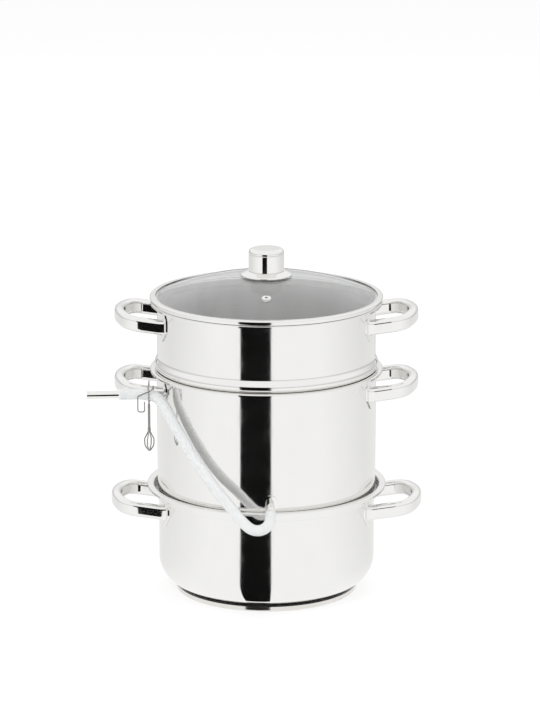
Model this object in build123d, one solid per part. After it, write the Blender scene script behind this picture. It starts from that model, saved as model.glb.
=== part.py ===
from build123d import *
import os
from math import asin, atan, cos, degrees, radians, sin, sqrt, tan

# Steam juicer set: water pot, juice kettle with its outlet hose, fruit basket and glass lid, stacked for use.
# Millimetres, +Z up. The origin is on the common axis, on the surface that the pot stands on.
# The outlet points to -Y and the handles stand out along -X and +X.

# Sheet steel and clearances shared by the vessels
sheet = 0.7
fold_bend = 0.8
seat_gap = 0.3
weld_gap = 0.05
overrun = 2.0

# Lip of every vessel: flared out, then curled down
lip_reach = 8.0
lip_bend = 2.3
lip_curl = 2.6
lip_curl_bend = 0.8

# Water pot
pot_radius = 130.4
pot_height = 132.0
pot_foot_bend = 35.0
collar_depth = 12.0
collar_play = 3.7
base_disc_inset = 20.4
base_core_thickness = 5.4
base_cap_sheet = 0.8
base_cap_bend = 1.8

# Juice kettle
kettle_wall_step = 1.4
kettle_height = 168.0
kettle_foot_bend = 21.3

# Steam chimney in the kettle's floor
chimney_foot_radius = 45.0
chimney_top_radius = 28.0
chimney_height = 75.0
chimney_flange = 9.0
chimney_bend = 4.0
chimney_sheet = 0.7

# Outlet spout
spout_turn = 2.0
spout_radius = 4.5
spout_wall = 0.8
spout_height = 33.5
spout_inset = 3.0
spout_lip_clearance = 4.4
spout_bend = 9.0
spout_slope = 48.0
spout_bead_radius = 6.2
spout_bead_length = 1.6
spout_bead_rounding = 0.5
spout_nipple_length = 5.5
spout_collar_radius = 10.0
spout_collar_thickness = 1.6
spout_bore_play = 0.05

# Juice hose, its end tube and its clamp
hose_radius = 6.5
hose_wall = 1.9
hose_first_run = 10.5
end_tube_radius = 4.5
end_tube_wall = 0.8
end_tube_showing = 38.0
end_tube_inserted = 7.5
end_tube_rounding = 0.3
hose_arc_share = 0.45

# Hose clamp of sprung wire
clamp_wire_radius = 0.75
clamp_touch = 0.3
clamp_bend = 2.5
clamp_stem_length = 31.0
clamp_jaw_height = 4.5
clamp_jaw_shift = 5.0
clamp_crossing_rise = 3.0
clamp_loop_stand_off = 1.2
clamp_loop_width = 8.0
clamp_loop_length = 19.0
clamp_loop_inset = 5.0
clamp_hook_drop = 12.0
clamp_hook_play = 0.4
clamp_bow_width = 11.5
clamp_bow_length = 27.0
clamp_bow_side_bend = 7.0
clamp_bow_end_bend = 2.0
clamp_bow_turn = 68.0
clamp_bow_width_shares = [0, -1, -0.9, 0, 0.9, 1]
clamp_bow_length_shares = [0, 0.42, 0.72, 1, 0.72, 0.42]
clamp_knot_radius = 2.0
clamp_knot_length = 4.0

# Route of the hose after its first run: x, y and height above the kettle's base, chosen by hand
hose_points = [
    (0.5, -165.5, 14.2),
    (-8.5, -169.3, 11.3),
    (-18.8, -169.0, 13.2),
    (-30.5, -162.0, 23.0),
    (-46.0, -149.0, 39.5),
    (-69.0, -128.0, 63.0),
    (-94.0, -107.0, 97.0),
    (-112.5, -87.0, 125.0),
    (-121.0, -74.5, 139.0),
    (-130.5, -68.0, 148.0),
    (-144.0, -66.2, 150.6),
    (-159.5, -66.0, 150.2),
    (-175.0, -66.2, 149.9),
]
hose_clamp_place = (-139.4, -66.9, 149.8)

# Fruit basket
basket_wall_step = 0.8
basket_height = 166.0
basket_foot_taper = 7.3
basket_foot_bend = 37.3
basket_neck_play = 0.8
basket_neck_length = 6.0
basket_neck_bend = 20.0
shoulder_reach = 2.8
shoulder_height = 81.0
shoulder_rise = 6.0
shoulder_bend = 4.0
shoulder_band = 4.2
shoulder_slope_length = 7.0
shoulder_slope_bend = 8.0
hole_radius = 1.7
wall_hole_rows = 4
wall_hole_row_pitch = 15.6
wall_hole_top_drop = 16.6
wall_holes_per_row = 40
floor_hole_rings = 4
floor_hole_ring_pitch = 17.0
floor_holes_per_ring_step = 6

# Handles: flattened hollow loops on leaf-shaped weld plates
handle_leg_spacing = 96.0
handle_width = 12.0
handle_depth = 18.0
handle_rounding = 5.0
handle_sheet = 1.2
handle_corner = 22.0
handle_bow_lean = 22.0
handle_bow_radius_share = 0.83
handle_slope = 8.0
pot_handle_reach = 57.5
pot_handle_drop = 26.0
pot_plate_rise = 12.0
upper_handle_reach = 51.0
upper_handle_drop = 22.5
upper_plate_rise = 16.0
plate_drop = 18.0
plate_width = 22.0
plate_thickness = 1.8
plate_top_rounding = 7.0
plate_side_rounding = 9.0
plate_shoulder_share = 0.25

# Glass lid
glass_thickness = 4.0
glazing_gap = 0.25
band_sheet = 0.6
band_bend = 1.2
band_overhang = 0.8
band_lip_width = 6.0
skirt_play = 0.6
skirt_depth = 9.5
glass_flat = 6.0
glass_edge_bend = 12.0
glass_edge_round = 1.5
dome_slope = 21.5
vent_offset = 82.0
vent_tube_radius = 4.0
vent_bore_radius = 1.7
vent_flange_radius = 5.5
vent_flange_thickness = 0.8
vent_play = 0.1

# Lid knob and its fastening
knob_radius = 21.2
knob_height = 27.0
knob_sheet = 1.0
knob_top_bend = 4.0
knob_insert_play = 0.1
knob_insert_height = 19.0
knob_base_radius = 31.0
knob_base_sheet = 0.9
knob_base_rim = 1.6
knob_base_height = 5.4
knob_base_bend = 0.6
knob_base_shelf = 2.0
knob_seal_radius = 9.0
screw_radius = 2.5
screw_play = 0.4
screw_bite = 12.0
screw_head_radius = 4.5
screw_head_height = 3.0
screw_head_rounding = 1.2
screw_slot_width = 1.2
screw_slot_depth = 1.4
washer_radius = 10.0
washer_thickness = 1.2

# Radii and heights that follow from the sizes above
pot_inner_radius = pot_radius - sheet
base_disc_radius = pot_radius - base_disc_inset
ledge_height = pot_height - collar_depth
fold_round = fold_bend + sheet
kettle_radius = pot_radius + kettle_wall_step
kettle_inner_radius = kettle_radius - sheet
kettle_foot_round = kettle_foot_bend + sheet
collar_inner_radius = kettle_radius + collar_play
collar_outer_radius = collar_inner_radius + sheet
pot_lip_radius = collar_outer_radius + lip_reach
lip_round = lip_bend + sheet
basket_radius = kettle_radius - basket_wall_step
basket_inner_radius = basket_radius - sheet
basket_neck_radius = kettle_inner_radius - basket_neck_play
basket_foot_radius = basket_neck_radius - basket_foot_taper
shoulder_radius = kettle_radius + shoulder_reach
shoulder_lean = atan((shoulder_radius - basket_neck_radius) / shoulder_rise)


def lift_between(round_below, round_above, spread):
    """Height between the centres of two rounded edges that rest on each other with the seat gap between."""
    return sqrt((round_below + round_above + seat_gap) ** 2 - spread ** 2)


kettle_spread = (pot_inner_radius + fold_round) - (kettle_radius - kettle_foot_round)
kettle_base = (
    ledge_height - fold_round
    + lift_between(fold_round, kettle_foot_round, kettle_spread)
    - kettle_foot_round
)
kettle_rim = kettle_base + kettle_height
neck_to_lip_centre = kettle_inner_radius + lip_round - basket_neck_radius
shoulder_foot = (
    kettle_rim - lip_round
    + (lip_round + seat_gap - neck_to_lip_centre * cos(shoulder_lean)) / sin(shoulder_lean)
)
basket_base = shoulder_foot - shoulder_height
basket_rim = basket_base + basket_height
lid_base = basket_rim + seat_gap


def sheet_outline(points, bends, thickness):
    """Face of a bent sheet in the radius-height plane.

    The points run along one face of the sheet, which lies on their left. Each bend is its inside radius.
    """
    corners = [Vector(*point) for point in points]
    ways = [(end - start).normalized() for start, end in zip(corners, corners[1:])]
    sides = [Vector(-way.Y, way.X) for way in ways]
    far_corners = [corners[0] + sides[0] * thickness]
    near_radii = []
    far_radii = []
    for index, bend in enumerate(bends):
        before, after = sides[index], sides[index + 1]
        far_corners.append(corners[index + 1] + (before + after) * (thickness / (1 + before.dot(after))))
        turns_left = ways[index].cross(ways[index + 1]).Z > 0
        near_radii.append(bend + thickness if turns_left else bend)
        far_radii.append(bend if turns_left else bend + thickness)
    far_corners.append(corners[-1] + sides[-1] * thickness)
    near = FilletPolyline(*corners, radius=near_radii)
    far = FilletPolyline(*far_corners, radius=far_radii)
    ends = [Line(near @ 0, far @ 0), Line(near @ 1, far @ 1)]
    return make_face(near.edges() + far.edges() + [end.edge() for end in ends])


def spun(face):
    """Solid of revolution about the common axis, from a face drawn as radius and height."""
    return revolve(Plane.XZ * face, axis=Axis.Z)


def spun_sheet(points, bends, thickness=sheet):
    return spun(sheet_outline(points, bends, thickness))


def lip_points(wall_radius, rim_height):
    """Outer-face points of a lip, from the top of a wall outwards and down, after the wall's own points."""
    edge_radius = wall_radius + lip_reach - sheet
    under_lip = rim_height - sheet
    return [(wall_radius, under_lip), (edge_radius, under_lip), (edge_radius, under_lip - lip_curl)]


lip_bends = [lip_bend, lip_curl_bend]


# Water pot
def make_pot_base():
    cap = spun_sheet(
        [(0, 0), (base_disc_radius, 0), (base_disc_radius, base_cap_sheet + base_core_thickness)],
        [base_cap_bend],
        base_cap_sheet,
    )
    core_radius = base_disc_radius - base_cap_sheet - weld_gap
    core_height = base_core_thickness - weld_gap
    core = Pos(0, 0, base_cap_sheet + weld_gap) * extrude(Circle(core_radius), core_height)
    core = chamfer(core.edges().group_by(Axis.Z)[0], base_cap_bend)
    return cap, core


def make_pot_shell():
    floor = base_cap_sheet + base_core_thickness + weld_gap
    under_ledge = ledge_height - sheet
    points = [(0, floor), (pot_radius, floor), (pot_radius, under_ledge), (collar_outer_radius, under_ledge)]
    points += lip_points(collar_outer_radius, pot_height)
    return spun_sheet(points, [pot_foot_bend, fold_bend, fold_bend] + lip_bends)


# Juice kettle
def make_kettle_shell(spout_hole):
    points = [(chimney_foot_radius, kettle_base), (kettle_radius, kettle_base)]
    points += lip_points(kettle_radius, kettle_rim)
    return spun_sheet(points, [kettle_foot_bend] + lip_bends) - spout_hole


def make_steam_chimney():
    flange_top = kettle_base + sheet + weld_gap + chimney_sheet
    chimney_top = kettle_base + sheet + chimney_height
    points = [
        (chimney_foot_radius + chimney_flange, flange_top),
        (chimney_foot_radius, flange_top),
        (chimney_top_radius, chimney_top),
    ]
    return spun_sheet(points, [chimney_bend], chimney_sheet)


# Outlet spout, drawn in a plane that holds the axis and points out of the kettle's front
outlet_way = Vector(sin(radians(spout_turn)), -cos(radians(spout_turn)), 0)
outlet_plane = Plane(origin=(0, 0, 0), x_dir=outlet_way, z_dir=outlet_way.cross(Vector(0, 0, 1)))


def outlet_point(radius, height):
    return outlet_plane.from_local_coords(Vector(radius, height, 0))


spout_level = kettle_base + spout_height
spout_bend_run = spout_bend * tan(radians(spout_slope) / 2)
spout_corner_radius = pot_lip_radius + spout_bend_run + spout_lip_clearance - spout_radius
slope_radius_share = cos(radians(spout_slope))
slope_height_share = -sin(radians(spout_slope))


def spout_slope_point(distance):
    """Point on the spout's sloping axis, at a distance from its corner."""
    return outlet_point(
        spout_corner_radius + distance * slope_radius_share,
        spout_level + distance * slope_height_share,
    )


bead_start = spout_bend_run + weld_gap
hose_start_distance = bead_start + spout_bead_length
hose_start = spout_slope_point(hose_start_distance)
hose_start_way = (spout_slope_point(hose_start_distance + hose_first_run) - hose_start).normalized()


def tube_along(path, outer_radius, bore_radius):
    """Round tube swept along a path of straight runs and tangent arcs."""
    section = Plane(origin=path @ 0, z_dir=path % 0) * (Circle(outer_radius) - Circle(bore_radius))
    return sweep(section, path=path)


def make_outlet_spout():
    nipple_end = spout_slope_point(hose_start_distance + spout_nipple_length)
    path = FilletPolyline(
        outlet_point(kettle_inner_radius - spout_inset, spout_level),
        outlet_point(spout_corner_radius, spout_level),
        nipple_end,
        radius=spout_bend,
    )
    tube = tube_along(path, spout_radius, spout_radius - spout_wall)
    bead_plane = Plane(origin=spout_slope_point(bead_start), z_dir=hose_start_way)
    bead_ring = Circle(spout_bead_radius) - Circle(spout_radius - spout_wall)
    bead = extrude(bead_plane * bead_ring, spout_bead_length)
    outer_edges = bead.edges().filter_by(GeomType.CIRCLE).sort_by(SortBy.RADIUS)[-2:]
    bead = fillet(outer_edges, spout_bead_rounding)
    return tube + bead


def make_spout_hole():
    plane = Plane(origin=outlet_point(kettle_inner_radius - spout_inset, spout_level), z_dir=outlet_way)
    reach = spout_inset + sheet + spout_collar_thickness + overrun
    return extrude(plane * Circle(spout_radius + spout_bore_play), reach)


def wall_shell(inner_radius, thickness, low, high):
    """Upright ring that follows a vessel's wall, to shape what is welded to it."""
    ring = Circle(inner_radius + thickness) - Circle(inner_radius)
    return extrude(Plane.XY.offset(low) * ring, high - low)


def make_spout_collar():
    plane = Plane(origin=outlet_point(0, spout_level), z_dir=outlet_way)
    disc = extrude(plane * Circle(spout_collar_radius), kettle_radius + spout_collar_thickness + overrun)
    low = spout_level - spout_collar_radius - overrun
    high = spout_level + spout_collar_radius + overrun
    ring = wall_shell(kettle_radius + weld_gap, spout_collar_thickness, low, high)
    return (disc & ring) - make_spout_hole()


# Juice hose and what is on it
def placed_on_kettle(point):
    return Vector(*point) + Vector(0, 0, kettle_base)


def make_hose_path():
    route = [hose_start, hose_start + hose_start_way * hose_first_run]
    route += [placed_on_kettle(point) for point in hose_points]
    runs = [(after - before) for before, after in zip(route, route[1:])]
    radii = []
    for run_in, run_out in zip(runs, runs[1:]):
        half_turn = radians(run_in.get_angle(run_out)) / 2
        radii.append(hose_arc_share * min(run_in.length, run_out.length) / tan(half_turn))
    print("hose radii", [round(radius, 1) for radius in radii])
    return FilletPolyline(*route, radius=radii)


def make_juice_hose(path):
    hose = tube_along(path, hose_radius, hose_radius - hose_wall)
    section_area = Circle(hose_radius).area - Circle(hose_radius - hose_wall).area
    volume_ratio = hose.volume / (section_area * path.length)
    print("hose length", round(path.length, 1), "volume ratio", round(volume_ratio, 4))
    return hose


def make_hose_end_tube(path):
    way = path % 1
    start = Plane(origin=(path @ 1) - way * end_tube_inserted, z_dir=way)
    ring = Circle(end_tube_radius) - Circle(end_tube_radius - end_tube_wall)
    tube = extrude(start * ring, end_tube_inserted + end_tube_showing)
    rim_edges = tube.edges().filter_by(GeomType.CIRCLE)
    return fillet(rim_edges, end_tube_rounding)


def wire_along(points, radii, close=False):
    """Clamp wire along straight runs joined by bends."""
    path = FilletPolyline(*points, radius=radii, close=close)
    section = Plane(origin=path @ 0, z_dir=path % 0) * Circle(clamp_wire_radius)
    return sweep(section, path=path)


def make_hose_clamp():
    """Sprung wire clamp: jaws, a finger loop, a stem with two crossed bows and a hook over the handle."""
    around = hose_radius + clamp_touch + clamp_wire_radius
    over = around + clamp_crossing_rise
    stem_side = clamp_wire_radius + weld_gap
    stem_top = -around - clamp_jaw_height
    stem_end = stem_top - clamp_stem_length
    loop_front = -around - clamp_loop_stand_off
    loop_right = -clamp_loop_inset
    loop_left = loop_right - clamp_loop_width
    finger_points = [
        (-stem_side, 0, stem_end),
        (-stem_side, 0, stem_top),
        (clamp_wire_radius * 2, around, -around),
        (clamp_jaw_shift, around, clamp_jaw_height),
        (clamp_jaw_shift, clamp_wire_radius * 2, over),
        (clamp_jaw_shift - clamp_wire_radius * 2, loop_front, around),
        (loop_left, loop_front, 0),
        (loop_left, loop_front, -clamp_loop_length),
        (loop_right, loop_front, -clamp_loop_length),
        (loop_right, loop_front, -hose_radius),
    ]
    leg_back = (handle_width - handle_leg_spacing) / 2 - hose_clamp_place[1]
    hook_back = leg_back + clamp_hook_play + clamp_wire_radius
    hook_points = [
        (stem_side, 0, stem_end),
        (stem_side, 0, stem_top),
        (0, -around, -around),
        (0, -around, clamp_jaw_height),
        (-clamp_wire_radius, 0, over),
        (-clamp_wire_radius, hook_back, over),
        (-clamp_wire_radius, hook_back, over - clamp_hook_drop),
    ]
    finger_wire = wire_along(finger_points, clamp_bend)
    hook_wire = wire_along(hook_points, clamp_bend)
    bow_points = []
    for across_share, down_share in zip(clamp_bow_width_shares, clamp_bow_length_shares):
        bow_points.append((across_share * clamp_bow_width / 2, 0, stem_end - down_share * clamp_bow_length))
    side, end = clamp_bow_side_bend, clamp_bow_end_bend
    bow = wire_along(bow_points, [end, side, side, end, side, side], close=True)
    knot_top = stem_end + clamp_knot_length / 2
    knot_plane = Plane.XY.offset(knot_top - clamp_knot_length)
    knot = extrude(knot_plane * Circle(clamp_knot_radius), clamp_knot_length)
    turned_bow = Rot(0, 0, clamp_bow_turn) * bow
    clamp = finger_wire + hook_wire + knot + bow + turned_bow
    return Pos(*placed_on_kettle(hose_clamp_place)) * clamp


# Fruit basket
def make_basket_shell():
    neck_bottom = shoulder_foot - basket_neck_length
    band_bottom = shoulder_foot + shoulder_rise
    band_top = band_bottom + shoulder_band
    points = [
        (0, basket_base),
        (basket_foot_radius, basket_base),
        (basket_neck_radius, neck_bottom),
        (basket_neck_radius, shoulder_foot),
        (shoulder_radius, band_bottom),
        (shoulder_radius, band_top),
        (basket_radius, band_top + shoulder_slope_length),
    ]
    points += lip_points(basket_radius, basket_rim)
    bends = [basket_foot_bend, basket_neck_bend, shoulder_bend, shoulder_bend]
    bends += [shoulder_slope_bend, shoulder_slope_bend] + lip_bends
    shell = spun_sheet(points, bends)
    return shell - make_basket_holes()


def basket_foot_centre():
    """Centre of the rounded foot in the radius-height plane, and the wall's lean from upright."""
    rise = shoulder_foot - basket_neck_length - basket_base
    spread = basket_neck_radius - basket_foot_radius
    lean = asin(spread / sqrt(spread ** 2 + rise ** 2))
    turn = radians(90) - lean
    return basket_foot_radius - (basket_foot_bend + sheet) * tan(turn / 2), lean


def make_basket_holes():
    """Drills for the rows of holes down the wall and foot and for the rings of holes in the floor."""
    foot_centre_radius, lean = basket_foot_centre()
    foot_round = basket_foot_bend + sheet
    centre_height = basket_base + foot_round
    drills = []
    wall_start = shoulder_foot - wall_hole_top_drop
    for row in range(wall_hole_rows):
        along = wall_start - row * wall_hole_row_pitch
        above = along - centre_height
        tilt = lean if above >= 0 else above / foot_round
        radius = foot_centre_radius + foot_round * cos(tilt) + max(above, 0) * tan(lean)
        height = along if above >= 0 else centre_height + foot_round * sin(tilt)
        for step in range(wall_holes_per_row):
            angle = 360 * (step + 0.5) / wall_holes_per_row
            way = -lean if above >= 0 else tilt
            drill = Rot(0, 0, angle) * Pos(radius, 0, height) * Rot(0, 90 - degrees(way), 0)
            drills.append(drill * Cylinder(hole_radius, (overrun + sheet) * 2))
    for ring in range(floor_hole_rings):
        ring_radius = (ring + 1) * floor_hole_ring_pitch
        count = (ring + 1) * floor_holes_per_ring_step
        for step in range(count):
            drill = Rot(0, 0, 360 * step / count) * Pos(ring_radius, 0, basket_base)
            drills.append(drill * Cylinder(hole_radius, (overrun + sheet) * 2))
    return drills


# Handles
def make_handle_loop(wall_radius, rim, reach, drop):
    """Hollow right-hand handle that starts at its plates, slopes up and outwards and is bowed at its end."""
    slope = radians(handle_slope)
    plane = Plane(
        origin=(wall_radius, 0, rim - drop),
        x_dir=(cos(slope), 0, sin(slope)),
        z_dir=(-sin(slope), 0, cos(slope)),
    )
    leg = handle_leg_spacing / 2
    lean = radians(handle_bow_lean)
    bow_radius = handle_leg_spacing * handle_bow_radius_share
    tip = (reach - handle_width / 2) / cos(slope)
    peak = tip + bow_radius * (1 / cos(lean) - 1)
    shoulder = peak - leg * tan(lean)
    start = -wall_radius / 2
    corners = [(start, -leg), (shoulder, -leg), (peak, 0), (shoulder, leg), (start, leg)]
    path = plane * FilletPolyline(*corners, radius=[handle_corner, bow_radius, handle_corner])
    outer = RectangleRounded(handle_width, handle_depth, handle_rounding)
    hollow = RectangleRounded(
        handle_width - handle_sheet * 2,
        handle_depth - handle_sheet * 2,
        handle_rounding - handle_sheet,
    )
    section = Plane(origin=path @ 0, x_dir=(0, 1, 0), z_dir=path % 0) * (outer - hollow)
    loop = sweep(section, path=path)
    plate_face = wall_radius + weld_gap + plate_thickness + weld_gap
    core = Pos(0, 0, rim - drop) * Cylinder(plate_face, wall_radius * 2)
    return loop - core


def make_handle_plates(wall_radius, rim, drop, rise):
    """Pair of leaf-shaped plates, pointed below, that follow the vessel's wall behind the handle's legs."""
    leg = handle_leg_spacing / 2
    half_width = plate_width / 2
    shoulder = rise - plate_top_rounding
    leaf_points = [
        (0, -plate_drop),
        (half_width, -plate_drop * plate_shoulder_share),
        (half_width, shoulder),
        (plate_top_rounding, rise),
        (-plate_top_rounding, rise),
        (-half_width, shoulder),
        (-half_width, -plate_drop * plate_shoulder_share),
    ]
    leaf = make_face(Polyline(*leaf_points, close=True).edges())
    leaf = fillet(leaf.vertices().sort_by(Axis.Y)[1:3], plate_side_rounding)
    level = rim - drop
    low = level - plate_drop - overrun
    high = level + rise + overrun
    ring = wall_shell(wall_radius + weld_gap, plate_thickness, low, high)
    plates = []
    for y in (-leg, leg):
        plane = Plane(origin=(0, y, level), x_dir=(0, 1, 0), z_dir=(1, 0, 0))
        plates.append(extrude(plane * leaf, wall_radius * 2) & ring)
    return plates[0] + plates[1]


# Glass lid
band_inner_radius = basket_radius + lip_reach + band_overhang - band_sheet
glass_bottom = lid_base + band_sheet + glazing_gap
glass_radius = band_inner_radius - glazing_gap
glass_flat_start = glass_radius - glass_flat
dome_turn = radians(dome_slope)
dome_edge_radius = glass_flat_start - glass_edge_bend * sin(dome_turn)
dome_radius = dome_edge_radius / sin(dome_turn)
dome_centre = glass_bottom + glass_edge_bend * (1 - cos(dome_turn)) - dome_radius * cos(dome_turn)
glass_top = dome_centre + dome_radius + glass_thickness


def make_glass_outline():
    """Face of the glass: a flat rounded rim, a short bend upwards and the dome."""
    upper_bend = glass_edge_bend - glass_thickness
    bend_centre = (glass_flat_start, glass_bottom + glass_edge_bend)
    glass_upper = glass_bottom + glass_thickness
    lower_dome = CenterArc((0, dome_centre), dome_radius, 90 - dome_slope, dome_slope)
    upper_dome = CenterArc((0, dome_centre), dome_radius + glass_thickness, 90 - dome_slope, dome_slope)
    lower_edge = CenterArc(bend_centre, glass_edge_bend, 270 - dome_slope, dome_slope)
    upper_edge = CenterArc(bend_centre, upper_bend, 270 - dome_slope, dome_slope)
    rim = FilletPolyline(
        (glass_flat_start, glass_bottom),
        (glass_radius, glass_bottom),
        (glass_radius, glass_upper),
        (glass_flat_start, glass_upper),
        radius=glass_edge_round,
    )
    middle = Line((0, glass_top - glass_thickness), (0, glass_top))
    edges = [line.edge() for line in (lower_dome, upper_dome, lower_edge, upper_edge, middle)]
    return make_face(rim.edges() + edges)


def vent_plane(height_on_dome):
    """Plane at the vent, square to the dome, at a distance from the dome's centre of curvature."""
    tilt = asin(vent_offset / dome_radius)
    way = Vector(0, -sin(tilt), cos(tilt))
    return Plane(origin=Vector(0, 0, dome_centre) + way * height_on_dome, x_dir=(1, 0, 0), z_dir=way)


def make_lid_glass():
    glass = spun(make_glass_outline())
    reach = glass_thickness + overrun * 2
    vent_hole = extrude(vent_plane(dome_radius - overrun) * Circle(vent_tube_radius + vent_play), reach)
    low = glass_top - glass_thickness - overrun
    screw_hole = extrude(Plane.XY.offset(low) * Circle(screw_radius + screw_play), reach)
    return glass - vent_hole - screw_hole


def make_lid_rim_band():
    top = lid_base + glass_thickness + glazing_gap * 2 + band_sheet
    skirt_radius = basket_inner_radius - skirt_play - band_sheet
    points = [
        (band_inner_radius - band_lip_width, top),
        (band_inner_radius, top),
        (band_inner_radius, lid_base + band_sheet),
        (skirt_radius, lid_base + band_sheet),
        (skirt_radius, lid_base - skirt_depth),
    ]
    return spun_sheet(points, [band_bend, band_bend, fold_bend], band_sheet)


def make_vent_eyelet():
    under = vent_plane(dome_radius - vent_play - vent_flange_thickness)
    length = glass_thickness + vent_play * 2 + vent_flange_thickness * 2
    tube = extrude(under * Circle(vent_tube_radius), length)
    lower = extrude(under * Circle(vent_flange_radius), vent_flange_thickness)
    upper_plane = vent_plane(dome_radius + glass_thickness + vent_play)
    upper = extrude(upper_plane * Circle(vent_flange_radius), vent_flange_thickness)
    outwards = Axis(upper_plane.origin, upper_plane.z_dir)
    upper = fillet(upper.edges().group_by(outwards)[-1], vent_flange_thickness / 2)
    bore = extrude(under * Circle(vent_bore_radius), length)
    return tube + lower + upper - bore


# Knob
knob_shelf = glass_top + knob_base_height
knob_bottom = knob_shelf + weld_gap


def make_knob_base():
    points = [
        (knob_base_radius, glass_top),
        (knob_base_radius, glass_top + knob_base_rim),
        (knob_radius + knob_base_shelf, knob_shelf),
        (screw_radius + screw_play, knob_shelf),
    ]
    return spun_sheet(points, [knob_base_bend, knob_base_bend], knob_base_sheet)


def make_knob_cup():
    top = knob_bottom + knob_height
    points = [(knob_radius, knob_bottom), (knob_radius, top), (0, top)]
    return spun_sheet(points, [knob_top_bend], knob_sheet)


def make_knob_insert():
    radius = knob_radius - knob_sheet - knob_insert_play
    plug = extrude(Plane.XY.offset(knob_bottom) * Circle(radius), knob_insert_height)
    bore = extrude(Plane.XY.offset(knob_bottom) * Circle(screw_radius + weld_gap), screw_bite + overrun)
    return plug - bore


def make_knob_seal():
    bottom = glass_top + weld_gap
    ring = Circle(knob_seal_radius) - Circle(screw_radius + screw_play)
    return extrude(Plane.XY.offset(bottom) * ring, knob_base_height - knob_base_sheet - weld_gap * 2)


def make_knob_washer():
    top = glass_top - glass_thickness - seat_gap
    ring = Circle(washer_radius) - Circle(screw_radius + screw_play)
    return extrude(Plane.XY.offset(top - washer_thickness) * ring, washer_thickness)


def make_knob_screw():
    head_top = glass_top - glass_thickness - seat_gap - washer_thickness - weld_gap
    head_bottom = head_top - screw_head_height
    plane = Plane.XY.offset(head_bottom)
    shank = extrude(plane * Circle(screw_radius), knob_bottom + screw_bite - head_bottom)
    head = extrude(plane * Circle(screw_head_radius), screw_head_height)
    head = fillet(head.edges().group_by(Axis.Z)[0], screw_head_rounding)
    slot_length = screw_head_radius * 2 + overrun
    slot = Pos(0, 0, head_bottom) * Box(slot_length, screw_slot_width, screw_slot_depth * 2)
    return shank + head - slot


# Build every piece and write it
def make_pieces():
    pieces = {}
    pieces["pot_base_cap"], pieces["pot_base_core"] = make_pot_base()
    pieces["pot_shell"] = make_pot_shell()
    spout_hole = make_spout_hole()
    pieces["kettle_shell"] = make_kettle_shell(spout_hole)
    pieces["steam_chimney"] = make_steam_chimney()
    pieces["outlet_spout"] = make_outlet_spout()
    pieces["spout_collar"] = make_spout_collar()
    hose_path = make_hose_path()
    pieces["juice_hose"] = make_juice_hose(hose_path)
    pieces["hose_end_tube"] = make_hose_end_tube(hose_path)
    pieces["hose_clamp"] = make_hose_clamp()
    pieces["basket_shell"] = make_basket_shell()
    vessels = [
        ("pot", pot_radius, pot_height, pot_handle_reach, pot_handle_drop, pot_plate_rise),
        ("kettle", kettle_radius, kettle_rim, upper_handle_reach, upper_handle_drop, upper_plate_rise),
        ("basket", basket_radius, basket_rim, upper_handle_reach, upper_handle_drop, upper_plate_rise),
    ]
    for vessel, radius, rim, reach, drop, rise in vessels:
        loop = make_handle_loop(radius, rim, reach, drop)
        plates = make_handle_plates(radius, rim, drop, rise)
        for side, turn in (("right", 0), ("left", 180)):
            pieces[f"{vessel}_handle_{side}"] = Rot(0, 0, turn) * loop
            pieces[f"{vessel}_handle_{side}_plates"] = Rot(0, 0, turn) * plates
    pieces["lid_glass"] = make_lid_glass()
    pieces["lid_rim_band"] = make_lid_rim_band()
    pieces["vent_eyelet"] = make_vent_eyelet()
    pieces["knob_base"] = make_knob_base()
    pieces["lid_knob"] = make_knob_cup()
    pieces["knob_insert"] = make_knob_insert()
    pieces["knob_seal"] = make_knob_seal()
    pieces["knob_washer"] = make_knob_washer()
    pieces["knob_screw"] = make_knob_screw()
    return pieces


os.makedirs("parts", exist_ok=True)
for node, shape in make_pieces().items():
    export_step(shape, f"parts/{node}.step")
print("kettle base", round(kettle_base, 2), "rim", round(kettle_rim, 2))
print("basket base", round(basket_base, 2), "rim", round(basket_rim, 2), "lid", round(lid_base, 2))
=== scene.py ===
import math
from bisect import bisect_right
from functools import cache

import bpy
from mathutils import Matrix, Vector


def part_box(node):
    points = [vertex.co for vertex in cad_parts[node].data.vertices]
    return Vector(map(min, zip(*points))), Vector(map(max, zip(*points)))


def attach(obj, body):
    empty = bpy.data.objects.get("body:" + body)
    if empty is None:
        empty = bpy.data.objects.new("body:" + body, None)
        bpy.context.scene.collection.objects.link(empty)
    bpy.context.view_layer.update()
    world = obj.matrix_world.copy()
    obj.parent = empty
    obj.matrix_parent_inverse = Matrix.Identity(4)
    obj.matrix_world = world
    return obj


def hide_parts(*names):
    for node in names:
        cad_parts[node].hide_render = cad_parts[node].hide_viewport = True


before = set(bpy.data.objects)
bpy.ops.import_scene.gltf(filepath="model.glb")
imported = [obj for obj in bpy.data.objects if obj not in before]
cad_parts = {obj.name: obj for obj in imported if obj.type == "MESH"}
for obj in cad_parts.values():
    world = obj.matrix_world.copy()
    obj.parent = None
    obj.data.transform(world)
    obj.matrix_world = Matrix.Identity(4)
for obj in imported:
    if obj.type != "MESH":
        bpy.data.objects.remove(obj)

bl_info = {
    "name": "Steam juicer set",
    "version": (1, 0, 0),
    "blender": (4, 5, 0),
    "location": "3D View > Sidebar > Juicer",
    "description": "Dresses the solids of a steam juicer set with their finishes and fine shapes",
    "category": "Object",
}

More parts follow.
